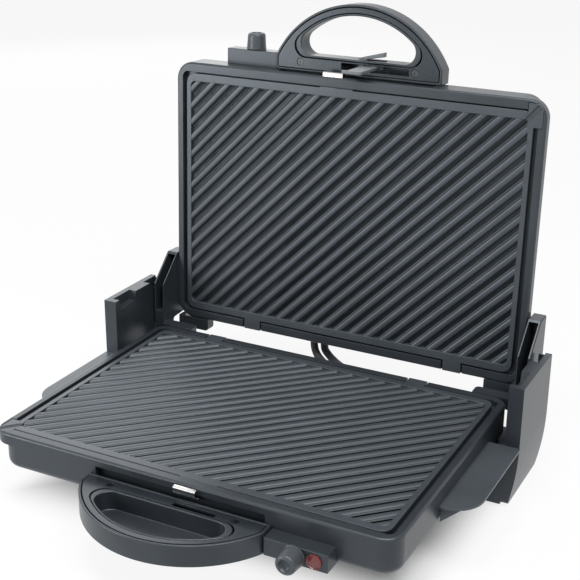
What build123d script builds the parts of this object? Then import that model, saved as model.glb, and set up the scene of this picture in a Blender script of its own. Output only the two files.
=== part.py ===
"""Contact grill with two ribbed plates, shown opened past a right angle.

The two halves are the same moulding. The lid is the lower half turned over,
so both are made by the same functions from a half's own frame:
u runs along the hinge, v from the hinge edge to the handle, w out of the plate.
"""

import os
from math import cos, radians, sin, tan

from build123d import *

os.makedirs("parts", exist_ok=True)

# Whole grill
tub_width = 390.0
tub_length = 278.0
tub_depth = 34.0
tub_corner = 18.0
tub_bottom_round = 8.0
tub_wall = 2.4
lip_depth = 11.0
lip_overhang = 9.0
rim_height = 80.0
lean_back = 2.0
closed_gap = 1.0
trough_half_width = 82.0
trough_top = 7.5
trough_bottom = 19.0
trough_depth = 5.5

# Rim and what sits in it
rim_width = 9.5
side_rim_width = 7.2
rim_round = 2.5
rim_thickness = 6.5
ledge_hold = 4.0
ledge_thickness = 2.5
lower_wall = 9.5
plate_gap = 1.5
side_groove = 4.6
groove_corner = 6.0
touch_gap = 0.3

# Grill plate
plate_thickness = 6.2
plate_corner = 10.0
border_width = 8.0
side_border_width = 5.0
border_chamfer = 0.6
field_depth = 2.8
field_corner = 7.0
rib_pitch = 12.0
rib_top = 4.6
rib_foot = 6.8
rib_below_border = 0.3
rib_shift = -1.0
tab_width = 19.0
tab_reach = 3.0
tab_thickness = 2.2
tab_places = (-102.5, 123.0)
tongue_length = 26.0
tongue_inset = 3.5
tongue_thickness = 2.2
channel_width = 6.0
channel_depth = 1.2

# Heater under the plate
element_diameter = 6.5
element_span = 290.0
element_rows = 4
element_row_pitch = 52.0
element_bend = 22.0
reflector_wall = 0.8
reflector_height = 5.0
reflector_margin = 20.0
reflector_slot_inset = 60.0
reflector_slot_length = 60.0
reflector_slot_width = 8.0
post_diameter = 11.0
post_inset = 46.0
vent_length = 34.0
vent_width = 4.0
vent_pitch = 12.0
vent_count = 9
vent_rows = (0.3, 0.5, 0.7)

# Hinge: arms on the lid, blocks that ride in the pillars' slots
pin_back = 15.8
pin_drop = 17.0
pin_diameter = 8.0
pin_clearance = 0.05
pin_end_inset = 2.0
pin_stop = 1.0
block_round = 2.0
float_travel = 34.0
arm_gap = 1.0
arm_thickness = 12.5
arm_top = 71.0
arm_shoulder = 42.0
arm_reach = 28.0
arm_back = 18.0
arm_eye = 9.0
arm_heel = 0.5
arm_heel_rise = 6.5
arm_wall = 2.4
arm_pad_length = 53.0
arm_pad_height = 14.4
block_width = 12.6
block_height = 13.0
block_thickness = 7.2
slot_clearance = 0.2
lug_width = 37.0
lug_length = 13.0
lug_thickness = 12.0

# Pillars on the lower half
pillar_thickness = 14.0
pillar_gap = 15.0
pillar_front = 61.0
pillar_rear = 29.0
pillar_rise = 42.4
pillar_round = 6.0
pillar_bow = 8.0
pillar_bow_start = 20.0
pillar_wall = 3.0
front_notch_start = 23.4
front_notch_end = 54.4
front_notch_slope = 2.5
front_notch_depth = 10.9
rear_notch_start = 1.0
rear_notch_slope = 7.5
rear_notch_depth = 6.6
rear_notch_fall = 7.8
foot_top = 29.5
foot_clearance = 1.5
flange_reach = 45.0
flange_thickness = 4.0
flange_screw_head = 8.0
flange_screw_height = 2.4
flange_screw_inset = 12.0
flange_front = 40.0
flange_rear = 8.0
rear_cover_thickness = 2.5
rear_cover_stop = 10.0
rear_cover_inset = 0.5
pad_thickness = 3.0
pad_length = 22.0
pad_width = 16.0
pad_corner = 3.0
pad_inset = 1.0

# Side wings
wing_width = 30.0
wing_front = 187.0
wing_drop = 16.0
wing_thickness = 2.0
wing_corner = 28.0
gusset_reach = 17.0
gusset_depth = 15.0
gusset_thickness = 4.0

# Front legs
leg_across = 140.0
leg_along = 176.0
leg_top_diameter = 30.0
leg_foot_diameter = 24.0

# Handle
handle_half_width = 88.0
handle_radius = 97.9
handle_reach = 69.0
handle_drop = 14.5
handle_wall = 2.6
hole_wall = 2.2
recess_floor = 2.2
ring_width = 11.0
hole_start = 16.5
hole_round = 12.0
cover_thickness = 2.4
cover_gap = 0.6
handle_screw_across = 60.5
handle_screw_along = 9.5
screw_head = 6.4
screw_shank = 3.2
screw_clearance = 0.2
screw_recess = 0.4
screw_seat = 2.0
cross_width = 0.9
cross_depth = 0.8
boss_diameter = 9.0
pilot_depth = 1.0

# Latch
latch_travel = 18.0
hook_along = 10.0
hook_thickness = 3.0
hook_left = 5.0
hook_right = 21.0
hook_toe = 5.0
latch_slot_left = -16.0
latch_slot_right = 55.0
latch_slot_start = 6.0
latch_slot_end = 12.4
hook_toe_thickness = 2.9
catch_width = 40.0
catch_side_clearance = 3.0
catch_slot = 5.0
slider_thickness = 9.0
lever_left = 0.0
lever_width = 8.0
lever_length = 26.0
lever_thickness = 6.0
lever_root_rise = 1.5
lever_tip_rise = 8.5
lever_tip_back = 4.5

# Control box, thermostat and knob
box_outer = 145.0
box_reach = 15.5
box_top = 17.5
box_height = 16.0
box_wall = 2.2
box_handle_gap = 0.8
box_round = 0.8
knob_across = 116.0
knob_depth = 25.7
knob_diameter = 19.6
knob_tip_diameter = 17.6
knob_length = 16.0
knob_dish = 8.0
knob_dish_depth = 1.5
knob_round = 3.0
knob_gap = 0.6
spindle_diameter = 6.0
spindle_clearance = 0.05
thermostat_width = 26.0
thermostat_length = 20.0
thermostat_height = 14.0
thermostat_corner = 2.0
lamp_across = 133.6
lamp_diameter = 13.0
lamp_flange = 1.0
lamp_rise = 1.4
bulb_diameter = 6.0
bulb_length = 12.0

# Plate clip
base_clip_across = 9.0
lid_clip_across = 19.0
clip_width = 21.0
clip_thickness = 0.8
clip_hold = 3.5
clip_drop = 2.4
clip_overhang = 4.0
clip_face = 5.6
clip_slope = 2.4
clip_return = 2.6
clip_bend = 1.4
clip_travel = 5.0

# Feet on the lid's back, cable glands and link cables
lid_foot_diameter = 22.0
lid_foot_across = 150.0
lid_foot_inset = 40.0
lid_foot_round = 1.5
gland_width = 32.0
gland_height = 13.0
gland_thickness = 4.0
gland_corner = 4.0
lid_cable_across = 30.0
base_cable_across = 21.0
cable_diameter = 8.0
cable_pitch = 12.0
cable_straight = 7.0
cable_point_a = (-25.5, 48.5, -19.2)
cable_point_b = (-15.0, 41.5, -22.6)
cable_point_c = (0.0, 31.0, -23.4)
cable_point_d = (15.5, 19.0, -20.0)
cord_gland_across = 120.0
cord_gland_diameter = 18.0
cord_gland_length = 13.0
cord_gland_bore = 7.4
cord_gland_flange = 2.5
terminal_length = 34.0
terminal_width = 18.0
terminal_height = 10.0
terminal_inset = 34.0
terminal_corner = 2.0
terminal_gap = 4.0
terminal_hole = 3.6
terminal_pitch = 10.0
terminal_row_pitch = 9.0

# Worked out from the sizes above
lid_pin_rise = pin_drop + closed_gap
lean = radians(lean_back)
lid_edge_behind = pin_back + pin_back * sin(lean) + lid_pin_rise * cos(lean)
lid_edge_up = -pin_drop + pin_back * cos(lean) - lid_pin_rise * sin(lean)
lid_foot_height = rim_height - pin_drop - lid_pin_rise - tub_depth
tub_half = tub_width / 2
tongue_start = tub_length - tongue_length
lipped_half = tub_half - lip_overhang
handle_front = tub_length + handle_reach
arc_centre = handle_front - handle_radius
hole_edge = tub_length + hole_start
handle_back = -tub_depth
pillar_inner = tub_half + pillar_gap
pillar_outer = pillar_inner + pillar_thickness
lid_foot_v = tub_length - lid_foot_inset
lid_back = (tub_depth + lid_foot_height) * cos(lean) + (lid_foot_v + lid_foot_diameter / 2) * sin(lean)
hinge_edge_y = (handle_front - lid_edge_behind - lid_back) / 2
knob_face = tub_length + box_reach
clip_places = {"base": -base_clip_across, "lid": -lid_clip_across}
hole_bottom = {"base": handle_back + recess_floor, "lid": handle_back}

base_frame = Plane(origin=(0, hinge_edge_y, rim_height), x_dir=(-1, 0, 0), z_dir=(0, 0, 1))
lid_frame = Plane(
    origin=(0, hinge_edge_y + lid_edge_behind, rim_height + lid_edge_up),
    x_dir=(1, 0, 0),
    z_dir=(0, -cos(lean), sin(lean)),
)
pin_y = hinge_edge_y + pin_back
pin_z = rim_height - pin_drop


def level(frame, w):
    """Plane parallel to the grill plate, w above the rim."""
    return frame.offset(w)


def edgewise(frame, v):
    """Plane across a half at v that faces the handle; its x runs along -u."""
    return Plane(origin=frame.from_local_coords((0, v, 0)), x_dir=-frame.x_dir, z_dir=frame.y_dir)


def sideways(frame, u):
    """Plane along a half at u that faces +u; its x runs along v, its y along w."""
    return Plane(origin=frame.from_local_coords((u, 0, 0)), x_dir=frame.y_dir, z_dir=frame.x_dir)


def save(builder, name):
    """Label a finished piece and write it."""
    builder.part.label = name
    export_step(builder.part, f"parts/{name}.step")


def tub_blank(frame):
    """The outside of a tub, solid, with a lip that stands out over the +u side wall."""
    up = Axis(frame.origin, frame.z_dir)
    with BuildPart() as blank:
        with BuildSketch(level(frame, -tub_depth)):
            with Locations((-lip_overhang / 2, tub_length / 2)):
                RectangleRounded(tub_width - lip_overhang, tub_length, tub_corner)
        extrude(amount=tub_depth)
        fillet(blank.faces().sort_by(up)[0].edges(), tub_bottom_round)
        with BuildSketch(level(frame, -lip_depth)):
            with Locations((0, tub_length / 2)):
                RectangleRounded(tub_width, tub_length, tub_corner)
        extrude(amount=lip_depth)
        fillet(blank.faces().sort_by(up)[-1].edges(), rim_round)
    return blank.part


blanks = {"base": tub_blank(base_frame), "lid": tub_blank(lid_frame)}
frames = {"base": base_frame, "lid": lid_frame}
knob_w = -knob_depth
wire_w = -tub_depth / 2


def make_housing(half):
    """Moulded tub with a stepped rim, vents, posts and hinge lugs."""
    frame = frames[half]
    floor = -tub_depth + tub_wall
    side_ledge = side_rim_width + side_groove + ledge_hold
    end_ledge = rim_width + plate_gap + ledge_hold
    with BuildPart() as housing:
        add(blanks[half])
        with BuildSketch(level(frame, 0)):
            with Locations((0, tub_length / 2)):
                RectangleRounded(tub_width - 2 * side_rim_width, tub_length - 2 * rim_width, groove_corner)
        extrude(amount=-rim_thickness, mode=Mode.SUBTRACT)
        with BuildSketch(level(frame, -rim_thickness)):
            with Locations((0, tub_length / 2)):
                RectangleRounded(tub_width - 2 * side_ledge, tub_length - 2 * end_ledge, groove_corner)
        extrude(amount=-ledge_thickness, mode=Mode.SUBTRACT)
        with BuildSketch(level(frame, floor)):
            inner_low = -tub_half + lower_wall
            inner_high = lipped_half - tub_wall
            with Locations(((inner_low + inner_high) / 2, tub_length / 2)):
                RectangleRounded(inner_high - inner_low, tub_length - 2 * lower_wall, tub_corner / 2)
        extrude(amount=-floor - rim_thickness - ledge_thickness, mode=Mode.SUBTRACT)
        with BuildSketch(level(frame, -tub_depth)):
            for row in vent_rows:
                for n in range(vent_count):
                    across = (n - (vent_count - 1) / 2) * vent_pitch * 2
                    with Locations((across, tub_length * row)):
                        SlotOverall(vent_length, vent_width, rotation=90)
        extrude(amount=tub_wall, mode=Mode.SUBTRACT)
        with BuildSketch(level(frame, floor)):
            for u in (-tub_half + post_inset, tub_half - post_inset):
                for v in (post_inset, tub_length - post_inset):
                    with Locations((u, v)):
                        Circle(post_diameter / 2)
        extrude(amount=reflector_floor() - floor)
        with BuildSketch(level(frame, 0)):
            for side in (-1, 1):
                with Locations((side * (tub_half - 1 - lug_width / 2), -lug_length / 2)):
                    Rectangle(lug_width, lug_length)
        extrude(amount=-lug_thickness)
        ends = housing.edges().filter_by(Axis(frame.origin, frame.z_dir))
        ends = ends.filter_by(lambda e: frame.to_local_coords(e.center()).Y < -lug_length + 0.1)
        fillet(ends, lug_thickness / 3)
        with BuildSketch(level(frame, 0)):
            for u in tab_places:
                with Locations((u, 0)):
                    Rectangle(tab_width + 2 * plate_gap, 4 * rim_width)
        extrude(amount=-tab_thickness - plate_gap, mode=Mode.SUBTRACT)
        with BuildSketch(level(frame, -trough_top)):
            with Locations((0, tub_length)):
                Rectangle(2 * trough_half_width, 2 * trough_depth)
        extrude(amount=trough_top - trough_bottom, mode=Mode.SUBTRACT)
        with BuildSketch(level(frame, -clip_drop + clip_thickness / 2 + touch_gap)):
            with Locations((clip_places[half], tub_length - rim_width / 2)):
                Rectangle(clip_width + 2 * touch_gap, rim_width + 2 * plate_gap)
        extrude(amount=-clip_thickness - 2 * touch_gap, mode=Mode.SUBTRACT)
        with BuildSketch(edgewise(frame, tub_length)):
            with Locations((knob_across, knob_w)):
                Circle(spindle_diameter / 2 + plate_gap)
            if half == "base":
                with Locations((lamp_across, knob_w)):
                    Circle(lamp_diameter / 2)
        extrude(amount=-lower_wall - ledge_hold, mode=Mode.SUBTRACT)
        with BuildSketch(level(frame, 0)):
            add(tongue_outline(touch_gap))
        extrude(amount=-touch_gap - tongue_thickness, mode=Mode.SUBTRACT)
    save(housing, f"{half}_housing")


def tongue_outline(outset):
    """The drain tongue at the plate's front corner on the +u side, moved out by outset."""
    plate_edge = tub_half - side_rim_width - side_groove
    plate_front = tub_length - rim_width - plate_gap
    tip_u = tub_half - tongue_inset
    tip_v = tub_length - tongue_inset
    with BuildSketch() as outline:
        with BuildLine():
            Polyline(
                (plate_edge - channel_width, plate_front - channel_width),
                (plate_edge, tongue_start),
                (tip_u, tongue_start),
                (tip_u, tip_v - channel_width),
                (tip_u - channel_width, tip_v),
                (plate_edge - channel_width, tip_v),
                close=True,
            )
        make_face()
        if outset:
            offset(amount=outset)
    return outline.sketch


def reflector_floor():
    """Height of the underside of the reflector."""
    element_bottom = -plate_thickness - touch_gap * 2 - element_diameter - touch_gap
    return element_bottom - touch_gap - reflector_wall


def make_plate(half):
    """Cast grill plate: flat border, sunken field, slanting ribs, two rear tabs."""
    frame = frames[half]
    margin = rim_width + plate_gap
    side_margin = side_rim_width + side_groove
    width = tub_width - 2 * side_margin
    length = tub_length - 2 * margin
    top = -touch_gap
    field = top - field_depth
    field_width = width - 2 * side_border_width
    field_length = length - 2 * border_width
    slant = Plane(
        origin=frame.from_local_coords((rib_shift, tub_length / 2, field)),
        x_dir=(frame.x_dir - frame.y_dir).normalized(),
        z_dir=(frame.x_dir + frame.y_dir).normalized(),
    )
    rib_height = field_depth - rib_below_border
    rib_count = int((field_width + field_length) / 2 * sin(radians(45)) / rib_pitch) + 1
    side = 1 if slant.y_dir.dot(frame.z_dir) > 0 else -1
    with BuildPart() as ribs:
        with BuildSketch(slant):
            for n in range(-rib_count, rib_count + 1):
                with BuildLine():
                    middle = n * rib_pitch
                    Polyline(
                        (middle - rib_foot / 2, -side),
                        (middle - rib_foot / 2, 0),
                        (middle - rib_top / 2, side * rib_height),
                        (middle + rib_top / 2, side * rib_height),
                        (middle + rib_foot / 2, 0),
                        (middle + rib_foot / 2, -side),
                        close=True,
                    )
                make_face()
        extrude(amount=tub_width, both=True)
        with BuildSketch(level(frame, field - 1)):
            with Locations((0, tub_length / 2)):
                RectangleRounded(field_width - 2, field_length - 2, field_corner)
        extrude(amount=rib_height + 1, mode=Mode.INTERSECT)
    with BuildPart() as plate:
        with BuildSketch(level(frame, top)):
            with Locations((0, tub_length / 2)):
                RectangleRounded(width, length, plate_corner)
        extrude(amount=-plate_thickness)
        with BuildSketch(level(frame, top)):
            with Locations((0, tub_length / 2)):
                RectangleRounded(field_width, field_length, field_corner)
        extrude(amount=-field_depth, mode=Mode.SUBTRACT)
        rim_edges = plate.faces().sort_by(Axis(frame.origin, frame.z_dir))[-1].edges()
        chamfer(rim_edges, border_chamfer)
        add(ribs.part)
        with BuildSketch(level(frame, top)):
            add(tongue_outline(0))
        extrude(amount=-tongue_thickness)
        drain_start = frame.from_local_coords((field_width / 2, tub_length - margin - border_width, top))
        drain_end = frame.from_local_coords((tub_half - tongue_inset, tub_length - tongue_inset, top))
        drain = drain_end - drain_start
        with BuildSketch(Plane(origin=(drain_start + drain_end) / 2, x_dir=drain, z_dir=frame.z_dir)):
            RectangleRounded(drain.length + channel_width, channel_width, channel_width / 2 - touch_gap)
        extrude(amount=-channel_depth, mode=Mode.SUBTRACT)
        with BuildSketch(level(frame, top)):
            for u in tab_places:
                with Locations((u, (margin - tab_reach) / 2)):
                    Rectangle(tab_width, margin + tab_reach)
        extrude(amount=-tab_thickness)
        with BuildSketch(level(frame, -clip_drop + clip_thickness / 2 + touch_gap)):
            with Locations((clip_places[half], tub_length - margin)):
                Rectangle(clip_width + 2 * plate_gap, 2 * (clip_hold + touch_gap))
        extrude(amount=-clip_thickness - 2 * touch_gap, mode=Mode.SUBTRACT)
    save(plate, f"{half}_grill_plate")


def make_heater(half):
    """Bent tube element and the sheet reflector below it."""
    frame = frames[half]
    element_w = -touch_gap - plate_thickness - touch_gap - element_diameter / 2
    first = tub_length / 2 - (element_rows - 1) / 2 * element_row_pitch
    with BuildPart() as element:
        with BuildLine(level(frame, element_w)):
            turns = []
            for n in range(element_rows):
                out = element_span / 2 if n % 2 == 0 else -element_span / 2
                ends = (-out, out)
                v = first + n * element_row_pitch
                turns += [(ends[0], v), (ends[1], v)]
            FilletPolyline(*turns, radius=element_bend)
        start_point = frame.from_local_coords((-element_span / 2, first, element_w))
        start = Plane(origin=start_point, z_dir=frame.x_dir)
        with BuildSketch(start):
            Circle(element_diameter / 2)
        sweep()
    save(element, f"{half}_heating_element")

    width = tub_width - 2 * reflector_margin
    length = tub_length - 2 * reflector_margin
    with BuildPart() as reflector:
        with BuildSketch(level(frame, reflector_floor())):
            with Locations((0, tub_length / 2)):
                RectangleRounded(width, length, plate_corner)
        extrude(amount=reflector_height)
        with BuildSketch(level(frame, reflector_floor() + reflector_wall)):
            with Locations((0, tub_length / 2)):
                inner_corner = plate_corner - reflector_wall
                RectangleRounded(width - 2 * reflector_wall, length - 2 * reflector_wall, inner_corner)
        extrude(amount=reflector_height, mode=Mode.SUBTRACT)
        with BuildSketch(level(frame, reflector_floor())):
            for u in (-width / 2 + reflector_slot_inset, width / 2 - reflector_slot_inset):
                with Locations((u, tub_length / 2)):
                    SlotOverall(reflector_slot_length, reflector_slot_width, rotation=90)
        extrude(amount=reflector_wall, mode=Mode.SUBTRACT)
    save(reflector, f"{half}_reflector")


def handle_outline(inset):
    """The handle's D, moved in by inset."""
    with BuildSketch() as outline:
        with Locations((0, arc_centre)):
            Circle(handle_radius - inset)
        with Locations((0, (tub_length + handle_front) / 2)):
            Rectangle(2 * (handle_half_width - inset), handle_reach, mode=Mode.INTERSECT)
    return outline.sketch


def hole_outline(outset):
    """The finger hole, moved out by outset."""
    with BuildSketch() as outline:
        with Locations((0, arc_centre)):
            Circle(handle_radius - ring_width + outset)
        with Locations((0, hole_edge - outset + handle_reach / 2)):
            Rectangle(4 * handle_half_width, handle_reach, mode=Mode.INTERSECT)
        fillet(outline.vertices(), hole_round)
    return outline.sketch


def make_handle(half):
    """D handle in two mouldings, an open shell and the cover let into its face.

    The lid's hole goes right through, and the lower one is a recess with a floor.
    """
    frame = frames[half]
    face = -handle_drop
    floor = handle_back + handle_wall
    under_cover = face - cover_thickness
    screws = [(side * handle_screw_across, tub_length + handle_screw_along) for side in (-1, 1)]
    with BuildPart() as shell:
        with BuildSketch(level(frame, handle_back)):
            add(handle_outline(0))
        extrude(amount=face - handle_back)
        with BuildSketch(level(frame, floor)):
            add(handle_outline(handle_wall))
            with Locations((0, tub_length)):
                Rectangle(3 * handle_half_width, 2 * handle_wall, mode=Mode.SUBTRACT)
            add(hole_outline(hole_wall), mode=Mode.SUBTRACT)
        extrude(amount=face - floor, mode=Mode.SUBTRACT)
        with BuildSketch(level(frame, floor)):
            with Locations(*screws):
                Circle(boss_diameter / 2)
        extrude(amount=under_cover - floor)
        with BuildSketch(level(frame, hole_bottom[half])):
            add(hole_outline(0))
        extrude(amount=face - hole_bottom[half], mode=Mode.SUBTRACT)
        with BuildSketch(level(frame, floor + pilot_depth)):
            with Locations(*screws):
                Circle(screw_shank / 2)
        extrude(amount=face - floor, mode=Mode.SUBTRACT)
        if half == "lid":
            with BuildSketch(edgewise(frame, hole_edge + 1)):
                with Locations((-lever_left - (latch_travel + lever_width) / 2, (floor + under_cover) / 2)):
                    Rectangle(latch_travel + lever_width + 2, slider_thickness - 1)
            extrude(amount=-hole_wall - 2, mode=Mode.SUBTRACT)
        add(blanks[half], mode=Mode.SUBTRACT)
    save(shell, f"{half}_handle_shell")

    cover_inset = handle_wall + cover_gap
    with BuildPart() as cover:
        with BuildSketch(level(frame, under_cover)):
            add(handle_outline(cover_inset))
            with Locations((0, tub_length)):
                Rectangle(3 * handle_half_width, 2 * cover_inset, mode=Mode.SUBTRACT)
            add(hole_outline(hole_wall + cover_gap), mode=Mode.SUBTRACT)
            with Locations(*screws):
                Circle(screw_shank / 2 + screw_clearance, mode=Mode.SUBTRACT)
        extrude(amount=cover_thickness)
        with BuildSketch(level(frame, face)):
            with Locations(*screws):
                Circle(screw_head / 2 + screw_recess)
        extrude(amount=-cover_thickness / 2, mode=Mode.SUBTRACT)
        with BuildSketch(level(frame, under_cover)):
            if half == "lid":
                slot_u = (latch_slot_left + latch_slot_right) / 2
                slot_v = tub_length + (latch_slot_start + latch_slot_end) / 2
                with Locations((slot_u, slot_v)):
                    Rectangle(latch_slot_right - latch_slot_left, latch_slot_end - latch_slot_start)
            else:
                near = hook_left - catch_side_clearance
                with Locations((-(near + catch_width / 2), tub_length + hook_along)):
                    Rectangle(catch_width, catch_slot)
        extrude(amount=cover_thickness, mode=Mode.SUBTRACT)
    save(cover, f"{half}_handle_cover")

    with BuildPart() as screw_pair:
        with BuildSketch(level(frame, face - cover_thickness / 2)):
            with Locations(*screws):
                Circle(screw_head / 2)
        extrude(amount=cover_thickness / 2 - touch_gap)
        with BuildSketch(level(frame, floor + screw_seat)):
            with Locations(*screws):
                Circle(screw_shank / 2 - pin_clearance)
        extrude(amount=face - cover_thickness / 2 - floor - screw_seat)
        with BuildSketch(level(frame, face - touch_gap)):
            with Locations(*screws):
                Rectangle(screw_head * 0.6, cross_width)
                Rectangle(cross_width, screw_head * 0.6)
        extrude(amount=-cross_depth, mode=Mode.SUBTRACT)
    save(screw_pair, f"{half}_handle_screws")


def make_controls(half):
    """Box beside the handle, the thermostat in the tub, its spindle and the knob."""
    frame = frames[half]
    inner = handle_half_width + box_handle_gap
    middle = (box_outer + inner) / 2
    width = box_outer - inner
    box_w = -box_top - box_height / 2
    front = edgewise(frame, knob_face)
    with BuildPart() as box:
        with BuildSketch(front):
            with Locations((middle, box_w)):
                Rectangle(width, box_height)
        extrude(amount=-box_reach - tub_bottom_round)
        with BuildSketch(edgewise(frame, knob_face - box_wall)):
            with Locations((middle, box_w)):
                Rectangle(width - 2 * box_wall, box_height - 2 * box_wall)
        extrude(amount=-box_reach - tub_bottom_round, mode=Mode.SUBTRACT)
        face_edges = box.faces().sort_by(Axis(frame.origin, frame.y_dir))[-1].edges()
        fillet(face_edges, box_round)
        with BuildSketch(front):
            with Locations((knob_across, knob_w)):
                Circle(spindle_diameter / 2 + touch_gap)
            if half == "base":
                with Locations((lamp_across, knob_w)):
                    Circle(lamp_diameter / 2 - lamp_flange)
        extrude(amount=-box_wall, mode=Mode.SUBTRACT)
        add(blanks[half], mode=Mode.SUBTRACT)
    save(box, f"{half}_control_box")

    body_front = tub_length - lower_wall - touch_gap
    body_w = -tub_depth + tub_wall + thermostat_height / 2
    with BuildPart() as thermostat:
        with BuildSketch(edgewise(frame, body_front)):
            with Locations((knob_across, body_w)):
                RectangleRounded(thermostat_width, thermostat_height, thermostat_corner)
        extrude(amount=-thermostat_length)
        with BuildSketch(edgewise(frame, body_front)):
            with Locations((knob_across, knob_w)):
                Circle(spindle_diameter / 2 + spindle_clearance)
        extrude(amount=-thermostat_length / 2, mode=Mode.SUBTRACT)
    save(thermostat, f"{half}_thermostat")

    spindle_end = knob_face + knob_gap + knob_length / 2
    with BuildPart() as spindle:
        with BuildSketch(edgewise(frame, spindle_end)):
            with Locations((knob_across, knob_w)):
                Circle(spindle_diameter / 2)
        extrude(amount=body_front - thermostat_length / 2 + touch_gap - spindle_end)
    save(spindle, f"{half}_spindle")

    with BuildPart() as knob:
        with BuildSketch(edgewise(frame, knob_face + knob_gap)) as foot:
            with Locations((knob_across, knob_w)):
                Circle(knob_diameter / 2)
        with BuildSketch(edgewise(frame, knob_face + knob_gap + knob_length)) as tip:
            with Locations((knob_across, knob_w)):
                Circle(knob_tip_diameter / 2)
        loft()
        end_edges = knob.faces().sort_by(Axis(frame.origin, frame.y_dir))[-1].edges()
        fillet(end_edges, knob_round)
        with BuildSketch(edgewise(frame, knob_face + knob_gap + knob_length)):
            with Locations((knob_across, knob_w)):
                Circle(knob_dish / 2)
        extrude(amount=-knob_dish_depth, mode=Mode.SUBTRACT)
        with BuildSketch(edgewise(frame, knob_face + knob_gap)):
            with Locations((knob_across, knob_w)):
                Circle(spindle_diameter / 2 + spindle_clearance)
        extrude(amount=knob_length / 2 + spindle_clearance, mode=Mode.SUBTRACT)
    save(knob, f"{half}_knob")


def make_clip(half):
    """Sprung strip that reaches through the rim into the plate's front edge, and bows out in front."""
    frame = frames[half]
    outer = tub_length + clip_overhang
    inner = tub_length - rim_width - plate_gap - clip_hold
    back = tub_length - clip_return
    with BuildPart() as clip:
        with BuildSketch(sideways(frame, clip_places[half] - clip_width / 2)):
            with BuildLine():
                FilletPolyline(
                    (inner, -clip_drop),
                    (outer, -clip_drop),
                    (outer, -clip_drop - clip_face),
                    (back, -clip_drop - clip_face - clip_slope),
                    (back, -handle_drop + plate_gap),
                    radius=clip_bend,
                )
            trace(line_width=clip_thickness)
        extrude(amount=clip_width)
    save(clip, f"{half}_plate_clip")


for half in ("base", "lid"):
    make_housing(half)
    make_plate(half)
    make_heater(half)
    make_handle(half)
    make_controls(half)
    make_clip(half)

# Latch on the lid: slider in the handle, hook through its cover, lever in the finger hole
latch_floor = handle_back + handle_wall
latch_room = -handle_drop - cover_thickness
slider_low = (latch_floor + latch_room - slider_thickness) / 2
hook_tip = closed_gap + handle_drop + cover_thickness + 2 * touch_gap + hook_toe_thickness
hook_v = tub_length + hook_along
lever_root = hook_v + hook_thickness / 2
with BuildPart() as latch:
    with BuildSketch(level(lid_frame, slider_low)):
        with Locations(((hook_left + hook_right) / 2, hook_v)):
            Rectangle(hook_right - hook_left + 2 * hook_toe, hook_thickness)
    extrude(amount=slider_thickness)
    with BuildSketch(level(lid_frame, slider_low)):
        with Locations(((hook_left + hook_right) / 2, hook_v)):
            Rectangle(hook_right - hook_left, hook_thickness)
    extrude(amount=hook_tip - slider_low)
    with BuildSketch(level(lid_frame, hook_tip)):
        with Locations((hook_left - hook_toe / 2, hook_v)):
            Rectangle(hook_toe, hook_thickness)
    extrude(amount=-hook_toe_thickness)
    toe = latch.edges().filter_by(Axis(lid_frame.origin, lid_frame.y_dir))
    toe = toe.filter_by(lambda e: lid_frame.to_local_coords(e.center()).Z > hook_tip - 0.01)
    chamfer(toe, hook_toe_thickness * 0.5)
    with BuildSketch(level(lid_frame, slider_low + (slider_thickness - lever_thickness) / 2)):
        with BuildLine():
            Polyline(
                (lever_left, lever_root),
                (lever_left, hole_edge + lever_root_rise),
                (lever_left + lever_length, hole_edge + lever_tip_rise),
                (lever_left + lever_length, hole_edge + lever_tip_rise - lever_tip_back),
                (lever_left + lever_width, hole_edge + lever_root_rise / 2),
                (lever_left + lever_width, lever_root),
                close=True,
            )
        make_face()
    extrude(amount=lever_thickness)
save(latch, "lid_latch")

# Lamp on the lower control box: a domed lens let into the face, and the neon bulb behind it
with BuildPart() as lens:
    with BuildSketch(edgewise(base_frame, knob_face)):
        with Locations((lamp_across, knob_w)):
            Circle(lamp_diameter / 2)
    extrude(amount=lamp_rise)
    lens_edge = lens.faces().sort_by(Axis(base_frame.origin, base_frame.y_dir))[-1].edges()
    fillet(lens_edge, lamp_rise * 0.8)
    with BuildSketch(edgewise(base_frame, knob_face)):
        with Locations((lamp_across, knob_w)):
            Circle(lamp_diameter / 2 - lamp_flange - spindle_clearance)
    extrude(amount=-box_wall)
save(lens, "base_lamp_lens")

with BuildPart() as bulb:
    with BuildSketch(edgewise(base_frame, knob_face - box_wall - touch_gap)):
        with Locations((lamp_across, knob_w)):
            Circle(bulb_diameter / 2)
    extrude(amount=-bulb_length)
    fillet(bulb.faces().sort_by(Axis(base_frame.origin, base_frame.y_dir))[-1].edges(), bulb_diameter * 0.4)
save(bulb, "base_lamp_bulb")


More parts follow.
